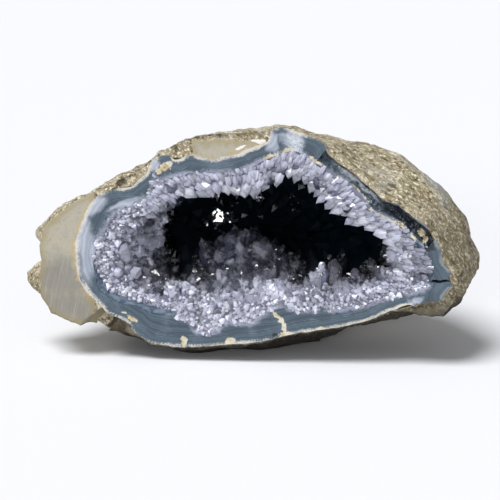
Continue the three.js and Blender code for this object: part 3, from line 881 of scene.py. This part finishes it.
def tallSites(bed, chance):  # the tall ones, and a back row along the lower ring
    sites = []
    for x, depth, z, way, radius, length, milk in quartz["tall"]:
        foot = onFace(x, z, depth)
        sites.append((foot, Vector(way).normalized(), radius, length, milk, milk * 0.5, chance.random()))
    row = quartz["backRow"]
    for k in range(row["count"]):
        x = row["from"] + row["width"] * (k + chance.random()) / row["count"]
        start = onFace(x, row["height"], chance.uniform(*row["depth"]))
        hit, normal, index, far = bed.ray_cast(start, Vector((0, 0, -1)))
        if hit:
            radius = chance.uniform(*row["radius"])
            lean = tilted(chance, Vector((0, -0.3, 1)), 0.25)
            milk = chance.uniform(0.35, 0.75)
            length = radius * chance.uniform(0.9, 2.0)
            sites.append((hit - lean * mm, lean, radius, length, milk, milk * 0.5, chance.random()))
    return sites


def leftSites(bed, chance, gaps):  # chunky ones on the left wall, the longest towards the mouth
    sites = []
    wall = quartz["leftWall"]
    for k in range(wall["tries"]):
        depth = chance.uniform(*wall["depth"])
        start = onFace(-16, chance.uniform(*wall["height"]), depth)
        hit, normal, index, far = bed.ray_cast(start, Vector((-1, 0, 0)))
        radius = chance.uniform(*wall["radius"])
        if hit and faceOf(hit)[0] < wall["edge"] and gaps.room(hit, radius * 1.1 * mm):
            milk = chance.uniform(0.5, 0.95) * (1 - 0.3 * smooth(depth, 14, 20))
            tone = chance.uniform(0.3, 1.0) * (1 - 0.3 * smooth(depth, 14, 20))
            lean = tilted(chance, normal * 0.6 + Vector((0.1, -1, 0)), 0.35)
            length = radius * chance.uniform(0.6, 1.8 - 0.04 * depth)
            sites.append((hit - lean * mm, lean, radius, length, milk, milk * 0.7, tone))
    return sites


def isBare(x, depth, z, mound, draw):  # the comb's side and most of the back have no grains
    if isUpper(x, z):
        return depth < 8 or draw < 0.999
    kept = 0.6 * smooth(-x, 28, 36) * (1 - smooth(depth, 22, 28))
    return depth > 11 and mound < 0.3 and draw < 0.9995 - kept


def grainSites(ground, chance, gaps):  # small ones on the lower ring, the floor, the mound and the walls
    grains = quartz["grains"]
    sugar, clear = [], []
    for place, way in scatter(ground, (0, 1), grains["tries"], chance):
        x, depth, z = faceOf(place)
        draw = chance.random()
        mound = moundAt(x, depth) if z < 52 else 0
        if isBare(x, depth, z, mound, draw):
            continue
        if fromLine("crust", x, z) < 0.3 or tealAt(x, depth, z) > chance.uniform(0.2, 0.9):
            continue
        if x > 58.5 and z > 32 and draw < 0.85:  # few at the right end
            continue
        fine = smooth(x, 18, 30) * (1 - smooth(depth, 4, 9))  # the right of the ring is the finest
        heap = smooth(-x, 26, 34) * smooth(depth, 3.5, 7)
        radius = chance.uniform(*grains["radius"]) * (1 - 0.25 * fine) + 0.35 * smooth(depth, 6, 12)
        radius += 0.75 * heap + 0.45 * mound
        if draw > 0.82:
            radius *= 1.45
        if not gaps.room(place, radius * grains["apart"] * mm):
            continue
        if depth < 2.5:
            lean = tilted(chance, Vector((0, -0.5, 0)) - outward(x, z) * 0.6, 0.32)
        else:
            lean = tilted(chance, way, 0.32 + 0.15 * mound)
        length = radius * chance.uniform(0.4, 1.3 + 0.9 * mound * smooth(depth, 8, 11))
        ahead = cutY - (place + lean * (length + radius) * mm).y
        length = max(0.2, length - max(0, ahead) / mm)
        white = hump((x, z), *quartz["bright"]) if depth < 9 else 0
        milk = max(milkAt(place) * chance.uniform(0.65, 1) * (1 - 0.3 * heap), white)
        left = smooth(-x, 22, 38)
        pale = 1 - smooth(depth, 5 + 5 * left, 11 + 9 * left)
        tone = max(chance.uniform(0.18 * pale * (1 - heap), 0.24 + 0.9 * pale - 0.2 * heap), white)
        if mound > 0.3 and draw > 0.93:
            tone += 0.3
        foot = place - lean * 0.5 * mm
        site = (foot, lean, radius, length, milk, milk * chance.uniform(0.35, 0.95), tone)
        (sugar if milk > grains["sugarMilk"] else clear).append(site)
    return sugar, clear


def makeQuartz():
    chance = random.Random(4)
    ground = makeGround()
    bed = BVHTree.FromBMesh(ground)
    gaps = Spacing(quartz["cell"] * mm)
    comb = combSites(chance)
    druse = glintSites(bed) + tallSites(bed, chance) + leftSites(bed, chance, gaps)
    sugar, clear = grainSites(ground, chance, gaps)
    milkEnd = cutY + quartz["milkEnd"] * mm
    milks = [milkAt(v.co) if v.co.y < milkEnd else 0 for v in ground.verts]
    held = {"milk": milks, "teal": [tealAt(*faceOf(v.co)) for v in ground.verts]}
    for side in ground.faces:
        side.material_index = 0
    piece(ground, "crystalCrust", "crystal_crust", [cloudedGround()], held, False)
    growCrystals("rimComb", comb, crystalQuartz("combQuartz", 0.14))
    growCrystals("sugarCrystals", sugar, crystalQuartz("sugarQuartz", 0.16))
    growCrystals("hollowCrystals", druse + clear, crystalQuartz("clearQuartz", 0.18, quartz["soak"]))


# Studio: pale floor, soft light, camera
studio = {
    "floorColour": tint(236, 237, 241),
    "floorDrop": 0.05,  # how far the floor lies under the stone, mm
    "floorHalf": 5,  # metres
    "worldColour": (0.97, 0.98, 1, 1),
    "worldStrength": 0.21,
    "lights": {  # azimuth and elevation it shines from, angular size, strength
        "key": (-36, 63, 28, 3.0),
        "fill": (4, 30, 60, 0.4),
        "catch": (-8, 15, 7, 0.5),
    },
    "target": (0, 42.76),
    "azimuth": 6,
    "elevation": 14,
    "distance": 700,
    "lens": 140,
}


def towards(azimuth, elevation):
    turn, rise = math.radians(azimuth), math.radians(elevation)
    return Vector((math.sin(turn) * math.cos(rise), -math.cos(turn) * math.cos(rise), math.sin(rise)))


def makeStudio():
    scene = bpy.context.scene
    floorShape = bmesh.new()
    bmesh.ops.create_grid(floorShape, x_segments=8, y_segments=8, size=studio["floorHalf"])
    bmesh.ops.translate(floorShape, verts=floorShape.verts, vec=(0, 0, -studio["floorDrop"] * mm))
    mesh = bpy.data.meshes.new("floor")
    floorShape.to_mesh(mesh)
    floorShape.free()
    paper = Finish("paper")
    coat = paper.shine(Base_Color=studio["floorColour"], Roughness=0.9, Specular_IOR_Level=0.1)
    mesh.materials.append(paper.done(coat))
    floor = bpy.data.objects.new("floor", mesh)
    scene.collection.objects.link(floor)
    world = bpy.data.worlds.new("studio")
    world.use_nodes = True
    sky = world.node_tree.nodes["Background"].inputs
    sky["Color"].default_value = studio["worldColour"]
    sky["Strength"].default_value = studio["worldStrength"]
    scene.world = world
    for name, (azimuth, elevation, wide, strength) in studio["lights"].items():
        lamp = bpy.data.lights.new(name, "SUN")
        lamp.energy = strength
        lamp.angle = math.radians(wide)
        light = bpy.data.objects.new(name, lamp)
        light.rotation_euler = towards(azimuth, elevation).to_track_quat("Z", "Y").to_euler()
        scene.collection.objects.link(light)
    target = onFace(*studio["target"])
    place = target + towards(studio["azimuth"], studio["elevation"]) * studio["distance"] * mm
    view = bpy.data.cameras.new("camera")
    view.lens = studio["lens"]
    view.clip_start = 0.01
    camera = bpy.data.objects.new("camera", view)
    camera.location = place
    camera.rotation_euler = (target - place).to_track_quat("-Z", "Y").to_euler()
    scene.collection.objects.link(camera)
    scene.camera = camera
    scene.view_settings.view_transform = "Standard"
    print("studio ready")


makeStudio()
makeRock()
makeAgate()
makeQuartz()
